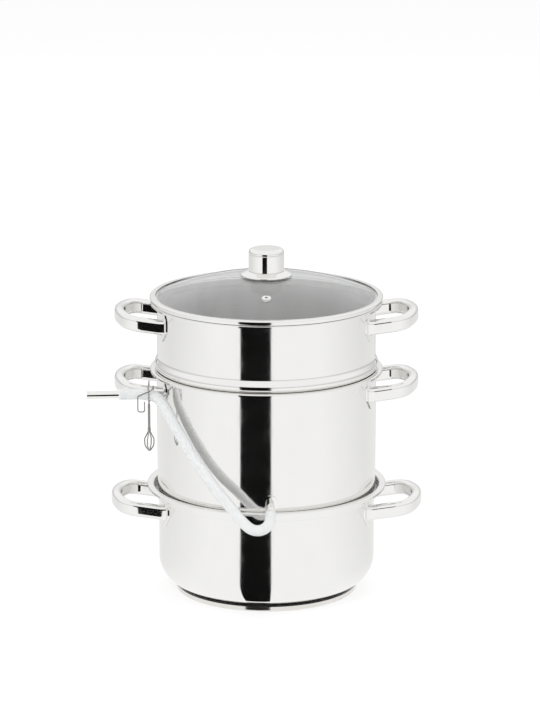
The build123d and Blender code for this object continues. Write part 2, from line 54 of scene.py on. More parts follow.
# Metres, in the frame of the solids, whose boxes give every overall size
pot_low, pot_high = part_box("pot_shell")
kettle_low, kettle_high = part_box("kettle_shell")
chimney_low, chimney_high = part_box("steam_chimney")
basket_low, basket_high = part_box("basket_shell")
glass_low, glass_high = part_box("lid_glass")
band_low, band_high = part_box("lid_rim_band")
base_low, base_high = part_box("knob_base")
knob_low, knob_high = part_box("lid_knob")
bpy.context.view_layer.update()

# How finely forms are drawn, which edges count as sharp, and the bevels of plates and screws
full_turn = 360
knob_segments = 180
arc_step = math.radians(5)
least_arc_points = 3
support_margin = 0.0006
shortest_run = support_margin * 4
axis_margin = support_margin / 100
hole_band_steps = 7
hole_border = 1.3
dome_steps = 28
dome_edge_steps = 6
flare_steps = 5
hose_sides = 24
sharp_fold = math.radians(40)
sharp_solid_edge = math.radians(35)
sharp_bevel_edge = math.radians(50)
bevel_segments = 3

plate_edge, screw_edge = 0.0005, 0.0002

# The first ring of holes in the basket's floor has six, and each further ring has six more
holes_in_first_ring = 6
# Bearing of the lid's vent and half its cell's width, in degrees, and half its band's height in vent radii
vent_bearing, vent_half_cell, vent_band_reach = 270, 5, 1.6


def property_kind(kind, **limits):
    """Short way to write a property of a kind, from its name, description and default."""
    return lambda name, description, default: kind(
        name=name, description=description, default=default, **limits
    )


length = property_kind(bpy.props.FloatProperty, min=0, unit="LENGTH", precision=5)
slant = property_kind(bpy.props.FloatProperty, subtype="ANGLE")
share = property_kind(bpy.props.FloatProperty, min=0, max=1)
number = property_kind(bpy.props.IntProperty, min=1)
colour = property_kind(bpy.props.FloatVectorProperty, size=3, min=0, max=1, subtype="COLOR")


class JuicerSheetSizes(bpy.types.PropertyGroup):
    """Sheet steel and the lip that every vessel has."""

    sheet: length("Sheet", "Thickness of the vessels' steel", 0.0007)
    lip_reach: length("Lip reach", "How far a lip stands out from its wall", 0.008)
    lip_bend: length("Lip bend", "Inside radius where the wall turns into the lip", 0.0023)
    lip_curl: length("Lip curl", "How far the lip's edge turns down", 0.0026)
    lip_curl_bend: length("Lip curl bend", "Inside radius of the lip's edge", 0.0008)
    fold_bend: length("Fold bend", "Inside radius of a sharp fold", 0.0008)


class JuicerPotSizes(bpy.types.PropertyGroup):
    """Water pot."""

    foot_bend: length("Foot bend", "Inside radius between floor and wall", 0.035)
    collar_step: length("Collar step", "How far the collar stands out from the wall", 0.0058)
    collar_depth: length("Collar depth", "Height of the collar", 0.012)


class JuicerKettleSizes(bpy.types.PropertyGroup):
    """Juice kettle and its chimney."""

    foot_bend: length("Foot bend", "Inside radius between floor and wall", 0.0213)
    floor_opening: length("Floor opening", "Radius of the opening under the chimney", 0.045)
    chimney_bend: length("Chimney bend", "Inside radius at the chimney's flange", 0.004)
    chimney_top: length("Chimney top", "Outer radius of the chimney's mouth", 0.028)
    chimney_flange: length("Chimney flange", "Width of the chimney's flange", 0.009)


class JuicerBasketSizes(bpy.types.PropertyGroup):
    """Pierced fruit basket."""

    foot_radius: length("Foot radius", "Radius of the floor before rounding", 0.123)
    foot_bend: length("Foot bend", "Inside radius between floor and wall", 0.0373)
    neck_radius: length("Neck radius", "Outer radius just under the shoulder", 0.1303)
    neck_length: length("Neck length", "Upright part under the shoulder", 0.006)
    neck_bend: length("Neck bend", "Radius between the neck and the pierced wall", 0.02)
    shoulder_radius: length("Shoulder radius", "Outer radius of the shoulder", 0.1346)
    shoulder_height: length("Shoulder height", "Height of the shoulder's foot above the floor", 0.081)
    shoulder_rise: length("Shoulder rise", "Height of the shoulder's sloping underside", 0.006)
    shoulder_bend: length("Shoulder bend", "Inside radius at both ends of the underside", 0.004)
    shoulder_band: length("Shoulder band", "Height of the band above the underside", 0.0042)
    slope_length: length("Slope length", "Height of the slope above the band", 0.007)
    slope_bend: length("Slope bend", "Radius at both ends of the slope", 0.008)
    hole_radius: length("Hole radius", "Radius of each hole", 0.0017)
    row_pitch: length("Row pitch", "Distance between rows of holes", 0.0156)
    row_top_drop: length("Top row drop", "Depth of the top row under the shoulder", 0.0166)
    rows: number("Rows", "Rows of holes in the wall", 4)
    holes_per_row: number("Holes per row", "Holes round the wall", 40)
    floor_rings: number("Floor rings", "Rings of holes in the floor", 4)
    ring_pitch: length("Ring pitch", "Distance between rings of floor holes", 0.017)


class JuicerLidSizes(bpy.types.PropertyGroup):
    """Glass lid and its knob."""

    glass: length("Glass", "Thickness of the glass", 0.004)
    dome_slope: slant("Dome slope", "Slope of the dome at its edge", math.radians(21.5))
    edge_bend: length("Edge bend", "Radius between the flat rim and the dome", 0.012)
    rim_flat: length("Rim flat", "Width of the glass's flat rim", 0.006)
    screw_hole: length("Screw hole", "Radius of the hole under the knob", 0.0029)
    vent_offset: length("Vent offset", "Distance of the vent from the middle", 0.082)
    vent_hole: length("Vent hole", "Radius of the vent's hole in the glass", 0.0041)
    band_sheet: length("Band sheet", "Thickness of the rim band", 0.0006)
    band_bend: length("Band bend", "Inside radius of the rim band's bends", 0.0012)
    band_lip: length("Band lip", "Width of the band over the glass", 0.006)
    skirt_depth: length("Skirt depth", "Depth of the skirt under the rim", 0.0095)
    knob_sheet: length("Knob sheet", "Thickness of the knob's shell", 0.001)
    knob_top_bend: length("Knob top bend", "Inside radius at the knob's top", 0.004)
    knob_ring_drop: length("Knob ring drop", "Depth of the fine ring under the knob's top", 0.0065)
    knob_ring_depth: length("Knob ring depth", "Depth of the fine ring's groove", 0.00025)
    base_sheet: length("Base sheet", "Thickness of the knob's base", 0.0009)
    base_rim: length("Base rim", "Height of the base's upright rim", 0.0016)
    base_shelf: length("Base shelf", "Width of the base's shelf round the knob", 0.002)


class JuicerHandleSizes(bpy.types.PropertyGroup):
    """Looped handles."""

    leg_spacing: length("Leg spacing", "Distance between a handle's legs", 0.096)
    width: length("Width", "Width of the flattened tube", 0.012)
    depth: length("Depth", "Height of the flattened tube", 0.018)
    rounding: length("Rounding", "Radius of the tube's edges", 0.005)
    corner: length("Corner", "Radius of the loop's corners", 0.022)
    bow_lean: slant("Bow lean", "Lean of the bowed end at its corners", math.radians(22))
    bow_share: share("Bow", "Radius of the bowed end as a share of the leg spacing", 0.83)
    slope: slant("Slope", "Upward slope of the loop", math.radians(8))
    flare: share("Flare", "How much a leg widens where it is welded", 0.1)
    flare_length: length("Flare length", "Length of the widened end", 0.005)


class JuicerHoseSizes(bpy.types.PropertyGroup):
    """Silicone hose."""

    radius: length("Radius", "Outer radius of the hose", 0.0065)
    wall: length("Wall", "Thickness of the hose's wall", 0.0019)


class JuicerFinish(bpy.types.PropertyGroup):
    """Colours of the finishes."""

    polished: colour("Polished steel", "Colour of the mirror-polished steel", (0.865, 0.86, 0.845))
    satin: colour("Satin steel", "Colour of the brushed insides", (0.985, 0.98, 0.97))
    glass: colour("Glass", "Colour of the lid's glass", (0.99, 1.0, 1.0))
    silicone: colour("Silicone", "Colour of the hose", (0.79, 0.805, 0.81))


# Lines and the sheets that follow them
def rounded_way(corners, radii):
    """Points with directions along straight runs joined by arcs, with a point close to each end of a run."""
    corners = [Vector(corner) for corner in corners]
    arcs = []
    for before, corner, after, radius in zip(corners, corners[1:], corners[2:], radii):
        way_in = (corner - before).normalized()
        way_out = (after - corner).normalized()
        turn = way_in.angle(way_out)
        start = corner - way_in * radius * math.tan(turn / 2)
        side = (way_out - way_in * math.cos(turn)).normalized()
        count = max(least_arc_points, math.ceil(turn / arc_step))
        arc = []
        for step in range(count + 1):
            angle = turn * step / count
            point = start + side * radius * (1 - math.cos(angle)) + way_in * radius * math.sin(angle)
            arc.append((point, way_in * math.cos(angle) + side * math.sin(angle)))
        arcs.append(arc)
    way = [(corners[0], (corners[1] - corners[0]).normalized())]
    last = (corners[-1], (corners[-1] - corners[-2]).normalized())
    for arc in arcs + [[last]]:
        add_supports(way, arc[0])
        way += arc
    return way


def add_supports(way, following):
    """Two points on a long straight run, close to its ends, that keep its shading flat."""
    start, direction = way[-1]
    run = following[0] - start
    if run.length > shortest_run:
        way.append((start + direction * support_margin, direction))
        way.append((following[0] - direction * support_margin, direction))


def sheet_way(corners, bends, thickness):
    """Way along one face of a bent sheet that lies on its left; each bend is an inside radius."""
    points = [Vector(corner) for corner in corners]
    radii = []
    for before, corner, after, bend in zip(points, points[1:], points[2:], bends):
        run_in, run_out = corner - before, after - corner
        turns_left = run_in.x * run_out.y - run_in.y * run_out.x > 0
        radii.append(bend + thickness if turns_left else bend)
    return rounded_way(points, radii)


def enclosed_volume(mesh):
    """Volume inside a closed mesh, below zero where its faces look inwards."""
    return sum(face.center.dot(face.normal) * face.area for face in mesh.polygons) / 3


def finish_mesh(names, vertices, faces, finishes, painted=None, shading=None, slot="polished_steel"):
    """A piece with smooth faces and sharp folds; names are its own, its body's and the replaced solid's.

    Painted, if given, holds the number of each face's finish. The shading, if given, holds a direction for
    each vertex and whether each face takes them.
    """
    name, body, node = names
    mesh = bpy.data.meshes.new(name)
    mesh.from_pydata(vertices, [], faces)
    for finish in finishes:
        mesh.materials.append(finish)
    mesh.polygons.foreach_set("material_index", painted or [0] * len(faces))
    mesh.polygons.foreach_set("use_smooth", [True] * len(faces))
    if enclosed_volume(mesh) < 0:
        mesh.flip_normals()
    mesh.update()
    mesh.set_sharp_from_angle(angle=sharp_fold)
    if shading:
        directions, shaded_faces = shading
        normals = []
        for polygon, shaded in zip(mesh.polygons, shaded_faces):
            normals += [directions[vertex] if shaded else (0, 0, 0) for vertex in polygon.vertices]
        mesh.normals_split_custom_set(normals)
    piece = bpy.data.objects.new(name, mesh)
    bpy.context.scene.collection.objects.link(piece)
    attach(piece, body)
    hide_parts(node)
    return piece


class SheetOfRevolution:
    """Mesh of a sheet that follows a way round the common axis, both faces, with holes in some bands.

    Within the brushed radius, the inner face takes a second finish and cut edges a third.
    """

    def __init__(self, way, thickness, segments=full_turn, brushed_radius=0):
        self.way = way
        self.thickness = thickness
        self.segments = segments
        self.brushed_radius = brushed_radius
        self.marks = [0]
        for (before, _), (after, _) in zip(way, way[1:]):
            self.marks.append(self.marks[-1] + (after - before).length)
        self.numbers = {}
        self.vertices = []
        self.directions = []
        self.faces = []
        self.painted = []
        self.shaded_faces = []

    def at(self, mark):
        """Point on the outer face and direction, at a distance along the way."""
        index = min(max(bisect_right(self.marks, mark), 1), len(self.marks) - 1)
        span = self.marks[index] - self.marks[index - 1]
        part = (mark - self.marks[index - 1]) / span if span else 0
        (before, way_before), (after, way_after) = self.way[index - 1], self.way[index]
        return before.lerp(after, part), way_before.lerp(way_after, part).normalized()

    def mark_where(self, axis, value, beyond_radius=0):
        """Distance along the way at which its radius (axis 0) or height (axis 1) first reaches a value."""
        for index, ((before, _), (after, _)) in enumerate(zip(self.way, self.way[1:])):
            if after.x > beyond_radius and before[axis] <= value < after[axis]:
                part = (value - before[axis]) / (after[axis] - before[axis])
                return self.marks[index] + part * (self.marks[index + 1] - self.marks[index])
        raise ValueError("the sheet doesn't reach that place")

    def vertex(self, degree, mark, side):
        point, way = self.at(mark)
        left = Vector((-way.y, way.x))
        if side:
            point = point + left * self.thickness
        degree = 0 if point.x < axis_margin else degree % full_turn
        key = (round(degree, 5) % full_turn, round(mark, 8), side)
        if key not in self.numbers:
            east, north = math.cos(math.radians(degree)), math.sin(math.radians(degree))
            facing = left if side else -left
            self.numbers[key] = len(self.vertices)
            self.vertices.append((point.x * east, point.x * north, point.y))
            self.directions.append((facing.x * east, facing.x * north, facing.y))
        return self.numbers[key]

    def face(self, corners, side, mark):
        """Face through corners of degree, mark and side: 0 outside, 1 inside, 2 on a cut edge."""
        numbers = list(dict.fromkeys(self.vertex(*corner) for corner in corners))
        if len(numbers) > 2:
            self.faces.append(numbers)
            self.painted.append(side if self.at(mark)[0].x <= self.brushed_radius else 0)
            self.shaded_faces.append(side < 2)

    def both_faces(self, corners, mark):
        """The same stretch outside and inside, through corners of degree and mark."""
        self.face([(*corner, 0) for corner in corners], 0, mark)
        self.face([(*corner, 1) for corner in reversed(corners)], 1, mark)

    def patch(self, degrees, marks):
        """Plain stretch of both faces."""
        for low, high in zip(marks, marks[1:]):
            for left, right in zip(degrees, degrees[1:]):
                self.both_faces([(left, low), (right, low), (right, high), (left, high)], (low + high) / 2)

    def holed_cell(self, degrees, marks, centre, radius):
        """Stretch of both faces with a round hole through it."""
        border = [(degree, marks[0]) for degree in degrees[:-1]]
        border += [(degrees[-1], mark) for mark in marks[:-1]]
        border += [(degree, marks[-1]) for degree in reversed(degrees[1:])]
        border += [(degrees[0], mark) for mark in reversed(marks[1:])]
        middle_degree, middle_mark = centre
        reach = math.radians(1) * self.at(middle_mark)[0].x
        rings = [border]
        for size in (radius * hole_border, radius):
            ring = []
            for degree, mark in border:
                across, along = (degree - middle_degree) * reach, mark - middle_mark
                scale = size / math.hypot(across, along)
                ring.append((middle_degree + across * scale / reach, middle_mark + along * scale))
            rings.append(ring)
        for outer, inner in zip(rings, rings[1:]):
            for start, end, inner_end, inner_start in quads(outer, inner):
                self.both_faces([start, end, inner_end, inner_start], middle_mark)
        for start, end, _, _ in quads(rings[-1], rings[-1]):
            self.face([(*start, 0), (*end, 0), (*end, 1), (*start, 1)], 2, middle_mark)

    def holed_band(self, low, high, centres, radius):
        """Band between two marks; each centre is a cell's first degree, last degree and hole's degree."""
        marks = [low + (high - low) * step / hole_band_steps for step in range(hole_band_steps + 1)]
        pitch = full_turn / self.segments
        covered = set()
        for first, last, hole in centres:
            count = round((last - first) / pitch)
            degrees = [first + pitch * step for step in range(count + 1)]
            covered.update(round(degree / pitch) % self.segments for degree in degrees[:-1])
            self.holed_cell(degrees, marks, (hole, (low + high) / 2), radius)
        for step in range(self.segments):
            if step not in covered:
                self.patch([step * pitch, (step + 1) * pitch], marks)

    def build(self, bands=()):
        """Fills what lies between the holed bands (low, high, centres, radius) and closes both ends."""
        degrees = [full_turn * step / self.segments for step in range(self.segments + 1)]
        start, end = 0, self.marks[-1]
        for low, high, centres, radius in sorted(bands, key=lambda band: band[0]):
            inside = [mark for mark in self.marks if start < mark < low]
            if low > start:
                self.patch(degrees, [start] + inside + [low])
            self.holed_band(low, high, centres, radius)
            start = high
        self.patch(degrees, [start] + [mark for mark in self.marks if start < mark < end] + [end])
        for left, right in zip(degrees, degrees[1:]):
            self.face([(left, end, 0), (right, end, 0), (right, end, 1), (left, end, 1)], 2, end)
            if self.way[0][0].x > 0:
                self.face([(left, 0, 1), (right, 0, 1), (right, 0, 0), (left, 0, 0)], 2, 0)
        return self

    def piece(self, name, body, node, finishes, shaded=True, **settings):
        shading = (self.directions, self.shaded_faces) if shaded else None
        mesh = (self.vertices, self.faces, finishes, self.painted, shading)
        return finish_mesh((name, body, node), *mesh, **settings)


def quads(ring, next_ring):
    """Corners of the faces between two rings that have as many points, each in order round its face."""
    return zip(ring, ring[1:] + ring[:1], next_ring[1:] + next_ring[:1], next_ring)


def bent_sheet(corners, bends, thickness, segments=full_turn):
    """Sheet of revolution without holes, of one finish."""
    return SheetOfRevolution(sheet_way(corners, bends, thickness), thickness, segments).build()


def skin(rings, closed):
    """Vertices and faces over rings of points; the last ring joins the first, or both ends are capped."""
    count = len(rings[0])
    vertices = [point for ring in rings for point in ring]
    numbers = [list(range(start, start + count)) for start in range(0, len(vertices), count)]
    following = numbers[1:] + numbers[:1] if closed else numbers[1:]
    faces = [face for near, far in zip(numbers, following) for face in quads(near, far)]
    if not closed:
        faces += [numbers[0][::-1], numbers[-1]]
    return vertices, faces


# Finishes
class Finish:
    """A material, or the world, with short ways to add and join its nodes."""

    def __init__(self, name, kind="materials"):
        self.made = getattr(bpy.data, kind).new(name)
        self.made.use_nodes = True
        self.nodes = self.made.node_tree.nodes

    def join(self, value, socket):
        """Gives a socket a fixed value or the output of another node."""
        if isinstance(value, bpy.types.NodeSocket):
            self.made.node_tree.links.new(value, socket)
        else:
            socket.default_value = value

    def set(self, **values):
        """Fills sockets of the plain shader, and gives back what was made."""
        shader = self.nodes["Principled BSDF"]
        for key, value in values.items():
            self.join(value, shader.inputs[key.replace("_", " ").title().replace("Ior", "IOR")])
        return self.made

    def node(self, kind, inputs=None, **settings):
        node = self.nodes.new("ShaderNode" + kind)
        for key, value in settings.items():
            setattr(node, key, value)
        for key, value in (inputs or {}).items():
            self.join(value, node.inputs[key])
        return node

    def calc(self, operation, *values):
        """Result of one operation on numbers and outputs."""
        return self.node("Math", dict(enumerate(values)), operation=operation).outputs[0]

    def vector_calc(self, operation, *values):
        node = self.node("VectorMath", dict(enumerate(values)), operation=operation)
        return node.outputs["Value" if operation == "LENGTH" else "Vector"]

    def place(self):
        """Place on the object, in metres."""
        return self.node("TexCoord").outputs["Object"]

    def turned_place(self, along, across):
        """Place for marks that run round the axis: fine across them and long along them."""
        east, north, up = self.node("SeparateXYZ", {0: self.place()}).outputs
        radius = self.vector_calc("LENGTH", self.node("CombineXYZ", {0: east, 1: north}).outputs[0])
        fine = self.calc("MULTIPLY", self.calc("ADD", radius, up), across)
        flat = [self.calc("MULTIPLY", part, along) for part in (east, north)]
        return self.node("CombineXYZ", dict(enumerate([*flat, fine]))).outputs[0]

    def bearing(self):
        """Direction away from the axis, the same all the way up a wall."""
        return self.vector_calc("NORMALIZE", self.vector_calc("MULTIPLY", self.place(), (1, 1, 0)))

    def noise(self, scale, detail=2.0, place=None):
        inputs = {"Vector": place or self.place(), "Scale": scale, "Detail": detail}
        return self.node("TexNoise", inputs).outputs["Fac"]

    def between(self, value, low, high, start=0.3, end=0.7, **settings):
        """A noise value, or another range from start to end, stretched to run from low to high."""
        inputs = {"Value": value, "From Min": start, "From Max": end, "To Min": low, "To Max": high}
        return self.node("MapRange", inputs, **settings).outputs["Result"]

    def mixed(self, value, one, other):
        inputs = {"Factor": value, "A": (*one, 1), "B": (*other, 1)}
        return self.node("Mix", inputs, data_type="RGBA").outputs["Result"]

    def either(self, part, one, other):
        """The one number where the part is 0 and the other where it is 1."""
        return self.node("Mix", {0: part, 2: one, 3: other}, data_type="FLOAT").outputs[0]

    def bump(self, height, strength, distance, **after):
        inputs = {"Height": height, "Strength": strength, "Distance": distance, **after}
        return self.node("Bump", inputs).outputs["Normal"]

    def glow(self, tone, strength):
        return self.node("Emission", {"Color": (*tone, 1), "Strength": strength}).outputs[0]

    def seen_directly(self):
        """1 for rays that look at the background straight, in a mirror or through glass, and 0 for light."""
        path = self.node("LightPath").outputs
        seen = self.calc("MAXIMUM", path["Is Camera Ray"], path["Is Glossy Ray"])
        return self.calc("MAXIMUM", seen, path["Is Transmission Ray"])

    def surface(self, output):
        """Ends the nodes in this output, and gives back what was made."""
        self.join(output, self.nodes["Material Output"].inputs["Surface"])
        return self.made


def scaled(tone, factor):
    return tuple(min(1, part * factor) for part in tone)


# Height of the waves in the polished sheet of the vessels, the handles and the knob
vessel_wave, handle_wave, knob_wave = 0.00009, 0.00006, 0.00004


# Each finish is made once and shared
@cache
def polished_steel(name="polished_steel", wave=vessel_wave):
    """Mirror finish with faint polishing lines, slight waves of drawn sheet and wiped smudges."""
    tone = bpy.context.scene.juicer_finish.polished
    finish = Finish(name)
    lines = finish.noise(1.0, place=finish.turned_place(along=6, across=2600))
    waves = finish.bump(finish.noise(14.0, detail=1.0), strength=0.35, distance=wave)
    smudges = finish.noise(38.0, detail=5.0)
    return finish.set(
        metallic=1.0,
        base_color=finish.mixed(smudges, scaled(tone, 0.975), scaled(tone, 1.01)),
        roughness=finish.between(smudges, 0.05, 0.11),
        normal=finish.bump(lines, strength=0.06, distance=0.00001, Normal=waves),
    )


@cache
def satin_steel():
    """Brushed finish: its lines run round the vessel, and broad bands of painted highlight, lighter and
    darker by bearing, run up the wall in its colour.
    """
    tone = bpy.context.scene.juicer_finish.satin
    finish = Finish("satin_steel")
    lines = finish.noise(1.0, detail=4.0, place=finish.turned_place(along=9, across=1500))
    # Painted highlight: broad bands by bearing lighten and darken the base colour where brushed steel shows
    # highlight bands; the brushed lines add their own grain
    painted_highlight_bands = finish.between(finish.noise(2.0, place=finish.bearing()), 0.0, 0.8, 0.36, 0.64)
    light = finish.calc("ADD", painted_highlight_bands, finish.between(lines, 0.0, 0.2))
    return finish.set(
        metallic=0.45,
        anisotropic=0.55,
        tangent=finish.node("Tangent", direction_type="RADIAL", axis="Z").outputs[0],
        base_color=finish.mixed(light, scaled(tone, 0.7), tone),
        roughness=finish.between(finish.noise(16.0, detail=3.0), 0.38, 0.48),
        normal=finish.bump(lines, strength=0.12, distance=0.00002),
    )


@cache
def base_steel():
    """Underside of the pot: polished in rings and slightly tinted by heat."""
    finish = Finish("base_steel")
    rings = finish.noise(1.0, detail=3.0, place=finish.turned_place(along=4, across=1800))
    return finish.set(
        metallic=1.0,
        base_color=finish.mixed(finish.noise(22.0), (0.8, 0.79, 0.77), (0.72, 0.69, 0.64)),
        roughness=finish.between(rings, 0.16, 0.3),
        normal=finish.bump(rings, strength=0.15, distance=0.00002),
    )


@cache
def clear_glass():
    """Tempered glass, with faint wiped marks in its gloss."""
    finish = Finish("clear_glass")
    wiped = finish.between(finish.noise(30.0, detail=4.0), 0.0, 0.018, 0.45, 0.75)
    tone = (*bpy.context.scene.juicer_finish.glass, 1)
    return finish.set(transmission_weight=1.0, ior=1.5, base_color=tone, roughness=wiped)


@cache
def milky_silicone():
    """Translucent hose with a soft sheen; its faint glow stands in for light that passes through."""
    tone = bpy.context.scene.juicer_finish.silicone
    finish = Finish("milky_silicone")
    clouds = finish.noise(90.0, detail=3.0)
    finish.set(ior=1.41, subsurface_weight=0.9, subsurface_scale=0.008, subsurface_radius=(1.0, 1.0, 1.0))
    return finish.set(
        emission_color=(1.0, 1.0, 1.0, 1.0),
        emission_strength=0.07,
        base_color=finish.mixed(clouds, scaled(tone, 0.97), scaled(tone, 1.02)),
        roughness=finish.between(clouds, 0.24, 0.34),
        normal=finish.bump(finish.noise(1600.0), strength=0.08, distance=0.00003),
    )


@cache
def grained(name, scale, dark, light, roughness, detail=2.0, **values):
    """A finish whose grain steers its colour and its roughness."""
    finish = Finish(name)
    grain = finish.noise(scale, detail)
    if "relief" in values:
        values["normal"] = finish.bump(grain, *values.pop("relief"))
    tone = finish.mixed(grain, dark, light)
    return finish.set(base_color=tone, roughness=finish.between(grain, *roughness), **values)


def raw_cut_edge_and_painted_shade():
    """Raw edge of the sheet, with its fine grain; its near-black tone is painted shade that makes the cut
    edges and the walls of the holes read dark.
    """
    return grained("raw_cut_edge_and_painted_shade", 2400.0, (0.16, 0.155, 0.15), (0.26, 0.25, 0.24), (0.4, 0.6), metallic=1.0)


def bright_wire():
    """Drawn spring wire."""
    return grained("bright_wire", 900.0, (0.36, 0.35, 0.34), (0.48, 0.47, 0.46), (0.14, 0.26), metallic=1.0)


def disc_aluminium():
    finish = ("disc_aluminium", 350.0, (0.7, 0.7, 0.71), (0.8, 0.8, 0.81), (0.3, 0.45), 4.0)
    return grained(*finish, relief=(0.2, 0.00004), metallic=1.0)


def dark_plastic():
    return grained("dark_plastic", 1200.0, (0.03, 0.03, 0.03), (0.05, 0.05, 0.05), (0.45, 0.6))


def clear_seal():
    finish = ("clear_seal", 300.0, (0.86, 0.87, 0.87), (0.93, 0.94, 0.94), (0.25, 0.4))
    return grained(*finish, transmission_weight=0.6, ior=1.41)


def dress_node(node, finish, edge=0.0):
    """A CAD node keeps its shape and gets its finish, smooth shading and, if asked, a small bevel."""
    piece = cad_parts[node]
    faces = piece.data.polygons
    piece.data.materials.clear()
    piece.data.materials.append(finish)
    faces.foreach_set("use_smooth", [True] * len(faces))
    faces.foreach_set("material_index", [0] * len(faces))
    piece.data.set_sharp_from_angle(angle=sharp_solid_edge)
    if edge:
        bevel = piece.modifiers.new("worn_edge", "BEVEL")
        bevel.width = edge
        bevel.segments = bevel_segments
        bevel.angle_limit = sharp_bevel_edge
        bevel.harden_normals = True
    return piece


# Vessels
def vessel_finishes():
    """Outside and lip, inner face, and cut edges, whose near-black tone is painted shade in the holes."""
    return polished_steel(), satin_steel(), raw_cut_edge_and_painted_shade()


def vessel_sheet(corners, bends, rim_height, brushed_radius=None):
    """Sheet of a vessel, from its floor up the wall and out over the lip that all three have.

    It is polished outside and on the lip, and brushed inside up to the wall's radius unless another is given.
    """
    sizes = bpy.context.scene.juicer_sheet
    wall = corners[-1][0]
    edge = wall + sizes.lip_reach - sizes.sheet
    under_lip = rim_height - sizes.sheet
    corners = corners + [(wall, under_lip), (edge, under_lip), (edge, under_lip - sizes.lip_curl)]
    bends = bends + [sizes.lip_bend, sizes.lip_curl_bend]
    way = sheet_way(corners, bends, sizes.sheet)
    return SheetOfRevolution(way, sizes.sheet, brushed_radius=brushed_radius or wall)


class JUICER_OT_water_pot(bpy.types.Operator):
    """Make the water pot's shell and dress its base"""

    bl_idname = "juicer.water_pot"
    bl_label = "Water pot"

    def execute(self, context):
        sizes, sheet = context.scene.juicer_pot, context.scene.juicer_sheet
        collar = pot_high.x - sheet.lip_reach
        wall = collar - sizes.collar_step
        under_ledge = pot_high.z - sizes.collar_depth - sheet.sheet
        corners = [(0, pot_low.z), (wall, pot_low.z), (wall, under_ledge), (collar, under_ledge)]
        shell = vessel_sheet(corners, [sizes.foot_bend, sheet.fold_bend, sheet.fold_bend], pot_high.z)
        shell.build().piece("pot_shell_drawn", "pot", "pot_shell", vessel_finishes())
        dress_node("pot_base_cap", base_steel())
        dress_node("pot_base_core", disc_aluminium())
        return {"FINISHED"}


class JUICER_OT_juice_kettle(bpy.types.Operator):
    """Make the juice kettle's shell and steam chimney, and dress its spout"""

    bl_idname = "juicer.juice_kettle"
    bl_label = "Juice kettle"

    def execute(self, context):
        sizes, sheet = context.scene.juicer_kettle, context.scene.juicer_sheet
        corners = [(sizes.floor_opening, kettle_low.z), (kettle_high.x - sheet.lip_reach, kettle_low.z)]
        shell = vessel_sheet(corners, [sizes.foot_bend], kettle_high.z)
        shell.build().piece("kettle_shell_drawn", "kettle", "kettle_shell", vessel_finishes())
        flange_top = chimney_low.z + sheet.sheet
        corners = [
            (sizes.floor_opening + sizes.chimney_flange, flange_top),
            (sizes.floor_opening, flange_top),
            (sizes.chimney_top, chimney_high.z),
        ]
        chimney = bent_sheet(corners, [sizes.chimney_bend], sheet.sheet)
        chimney.piece("steam_chimney_drawn", "kettle", "steam_chimney", [satin_steel()])
        dress_node("outlet_spout", polished_steel())
        dress_node("spout_collar", polished_steel(), plate_edge)
        return {"FINISHED"}


class JUICER_OT_fruit_basket(bpy.types.Operator):
    """Make the fruit basket's pierced shell"""

    bl_idname = "juicer.fruit_basket"
    bl_label = "Fruit basket"

    def execute(self, context):
        sizes, sheet = context.scene.juicer_basket, context.scene.juicer_sheet
        shoulder = basket_low.z + sizes.shoulder_height
        band_bottom = shoulder + sizes.shoulder_rise
        band_top = band_bottom + sizes.shoulder_band
        corners = [
            (0, basket_low.z),
            (sizes.foot_radius, basket_low.z),
            (sizes.neck_radius, shoulder - sizes.neck_length),
            (sizes.neck_radius, shoulder),
            (sizes.shoulder_radius, band_bottom),
            (sizes.shoulder_radius, band_top),
            (basket_high.x - sheet.lip_reach, band_top + sizes.slope_length),
        ]
        bends = [sizes.foot_bend, sizes.neck_bend, sizes.shoulder_bend, sizes.shoulder_bend]
        bends += [sizes.slope_bend, sizes.slope_bend]
        shell = vessel_sheet(corners, bends, basket_high.z, sizes.shoulder_radius)
        shell.build(wall_rows(shell, shoulder) + floor_rings())
        shell.piece("basket_shell_pierced", "basket", "basket_shell", vessel_finishes())
        return {"FINISHED"}


def wall_rows(shell, shoulder):
    """Bands of the basket's wall with their rows of holes, from the top row down."""
    sizes = bpy.context.scene.juicer_basket
    top_row = shell.mark_where(1, shoulder - sizes.row_top_drop, beyond_radius=sizes.foot_bend)
    half = sizes.row_pitch / 2
    pitch = full_turn / sizes.holes_per_row
    steps = range(sizes.holes_per_row)
    cells = [(pitch * step, pitch * (step + 1), pitch * (step + 0.5)) for step in steps]
    middles = [top_row - row * sizes.row_pitch for row in range(sizes.rows)]
    return [(middle - half, middle + half, cells, sizes.hole_radius) for middle in middles]


def floor_rings():
    """Bands of the basket's floor with their rings of holes, from the middle out."""
    sizes = bpy.context.scene.juicer_basket
    half = sizes.ring_pitch / 2
    bands = []
    for ring in range(1, sizes.floor_rings + 1):
        holes = holes_in_first_ring * ring
        pitch = full_turn / holes
        firsts = [math.floor(pitch * (step - 0.5)) for step in range(holes)]
        cells = [(first, first + pitch, pitch * step) for step, first in enumerate(firsts)]
        middle = ring * sizes.ring_pitch
        bands.append((middle - half, middle + half, cells, sizes.hole_radius))
    return bands


